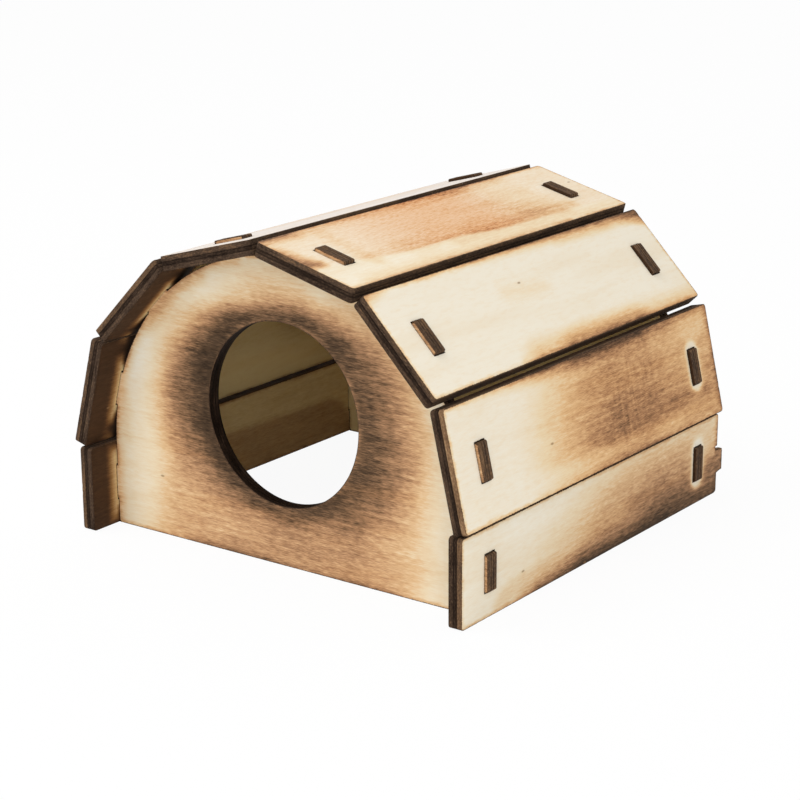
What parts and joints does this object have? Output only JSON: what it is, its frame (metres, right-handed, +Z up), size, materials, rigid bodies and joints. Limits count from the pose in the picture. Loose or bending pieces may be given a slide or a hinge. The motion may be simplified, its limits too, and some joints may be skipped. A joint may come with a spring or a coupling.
{
  "type": "gerbil house",
  "caption": "Arched small-pet hideout of scorched plywood, with slotted planks laid around tabbed end panels, a round entrance in front and an open floor.",
  "frame": {"origin": "centre of the house's base, on the surface that it stands on", "axes": "+Z up; the round entrance faces -Y; +X is the house's right-hand side seen from the entrance"},
  "size_m": [0.1314, 0.1332, 0.0899],
  "materials": {
    "end_panel_ply": "raw plywood, flame scorched, charred laser-cut edges",
    "plank_ply": "raw plywood, flame scorched, charred laser-cut edges"
  },
  "bodies": {
    "root": {"front_panel": "end_panel_ply", "back_panel": "end_panel_ply", "right_skirt_plank": "plank_ply", "right_lower_plank": "plank_ply", "right_middle_plank": "plank_ply", "right_upper_plank": "plank_ply", "left_skirt_plank": "plank_ply", "left_lower_plank": "plank_ply", "left_middle_plank": "plank_ply", "left_upper_plank": "plank_ply"}
  },
  "joints": []
}
